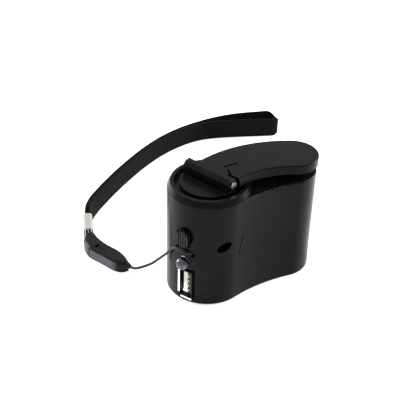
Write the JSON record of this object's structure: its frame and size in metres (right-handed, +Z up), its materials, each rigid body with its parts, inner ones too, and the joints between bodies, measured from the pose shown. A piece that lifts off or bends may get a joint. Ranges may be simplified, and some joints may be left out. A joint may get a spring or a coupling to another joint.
{
  "type": "hand crank phone charger",
  "caption": "Bean-shaped hand crank charger with a folding crank arm on top, gears and generator inside, a charging socket with a light and button, and a wrist strap.",
  "frame": {"origin": "on the crank's axis, at the level of the floor under the case", "axes": "+Z up along the crank's axis, +X from the big end towards the small end, the hollow side of the case towards -Y"},
  "size_m": [0.1272, 0.1233, 0.0539],
  "materials": {
    "case_plastic": "black satin, smooth, slightly glossy on the round end",
    "crank_plastic": "black satin",
    "knob_plastic": "black satin",
    "button_plastic": "black, fine upright ribs",
    "buckle_plastic": "black satin",
    "keeper_plastic": "off-white, dull",
    "gear_plastic": "natural nylon",
    "cap_plastic": "off-white",
    "chip_plastic": "black moulding",
    "lead_plastic": "red wire sleeve",
    "socket_plastic": "black",
    "board_laminate": "green board",
    "capacitor_sleeve": "dark blue sleeve",
    "lens_clear": "clear moulded lens",
    "plain_steel": "turned steel",
    "pin_steel": "dark turned steel",
    "screw_steel": "dark plated steel",
    "arm_plate_steel": "black",
    "frame_steel": "pressed sheet",
    "can_steel": "drawn steel",
    "socket_steel": "plated sheet",
    "magnet_iron": "ferrite",
    "brass_part": "turned brass",
    "contact_brass": "plated",
    "winding_copper": "copper winding on a laminated core",
    "cord_fabric": "thin braided cord, black",
    "strap_fabric": "flat woven webbing, black"
  },
  "bodies": {
    "case": {"front_shell": "case_plastic", "rear_shell": "case_plastic", "case_screws": "screw_steel", "idler_axles": "plain_steel", "crank_bush": "brass_part", "foot_bush": "brass_part", "lower_plate": "frame_steel", "upper_plate": "frame_steel", "plate_pillars": "plain_steel", "generator_can": "can_steel", "generator_cap": "cap_plastic", "generator_magnets": "magnet_iron", "usb_shell": "socket_steel", "usb_tongue": "socket_plastic", "usb_contacts": "contact_brass", "circuit_board": "board_laminate", "led_lens": "lens_clear", "led_leads": "contact_brass", "light_switch": "chip_plastic", "rectifier_diodes": "chip_plastic", "storage_capacitor": "capacitor_sleeve", "regulator_chip": "chip_plastic", "coil_inductor": "winding_copper", "generator_leads": "lead_plastic", "cord_knot": "cord_fabric", "lanyard_cord": "cord_fabric", "buckle_plug": "buckle_plastic", "buckle_socket": "buckle_plastic", "strap_keeper": "keeper_plastic", "wrist_strap_near": "strap_fabric", "wrist_strap_far": "strap_fabric"},
    "crank": {"crank_disc": "crank_plastic", "hinge_pin": "pin_steel", "crank_shaft": "plain_steel", "crank_gear": "gear_plastic"},
    "arm": {"arm_cover": "crank_plastic", "arm_plate": "arm_plate_steel", "knob_pin": "plain_steel"},
    "knob": {"crank_knob": "knob_plastic"},
    "first_idler_body": {"first_idler": "gear_plastic"},
    "second_idler_body": {"second_idler": "gear_plastic"},
    "rotor": {"rotor_shaft": "plain_steel", "rotor_armature": "winding_copper", "rotor_pinion": "brass_part"},
    "button": {"button_cap": "button_plastic"}
  },
  "joints": [
    {"name": "crank_spin", "type": "hinge", "parent": "case", "child": "crank", "pos_m": [0, 0, 0.0478], "axis": [0, 0, 1], "continuous": true},
    {"name": "arm_fold", "type": "hinge", "parent": "crank", "child": "arm", "pos_m": [0, 0, 0.0513], "axis": [0.4067, -0.9135, 0], "range_deg": [0, 180]},
    {"name": "knob_spin", "type": "hinge", "parent": "arm", "child": "knob", "pos_m": [0.03631, -0.00156, 0.0492], "axis": [0, 0, 1], "continuous": true},
    {"name": "first_idler_spin", "type": "hinge", "parent": "case", "child": "first_idler_body", "pos_m": [0.0132, 0.00281, 0.0389], "axis": [0, 0, 1], "continuous": true},
    {"name": "second_idler_spin", "type": "hinge", "parent": "case", "child": "second_idler_body", "pos_m": [0.0237, 0.00274, 0.0389], "axis": [0, 0, 1], "continuous": true},
    {"name": "rotor_spin", "type": "hinge", "parent": "case", "child": "rotor", "pos_m": [0.0328, 0, 0.0212], "axis": [0, 0, 1], "continuous": true},
    {"name": "button_press", "type": "slide", "parent": "case", "child": "button", "axis": [0.8572, 0.515, 0], "range_m": [0, 0.0008], "stiffness_N_per_m": 400, "springref_m": -0.0005}
  ],
  "couplings": [
    {"joint": "first_idler_spin", "follows": "crank_spin", "ratio": -3.5},
    {"joint": "second_idler_spin", "follows": "crank_spin", "ratio": 8.75},
    {"joint": "rotor_spin", "follows": "crank_spin", "ratio": -24.5}
  ]
}
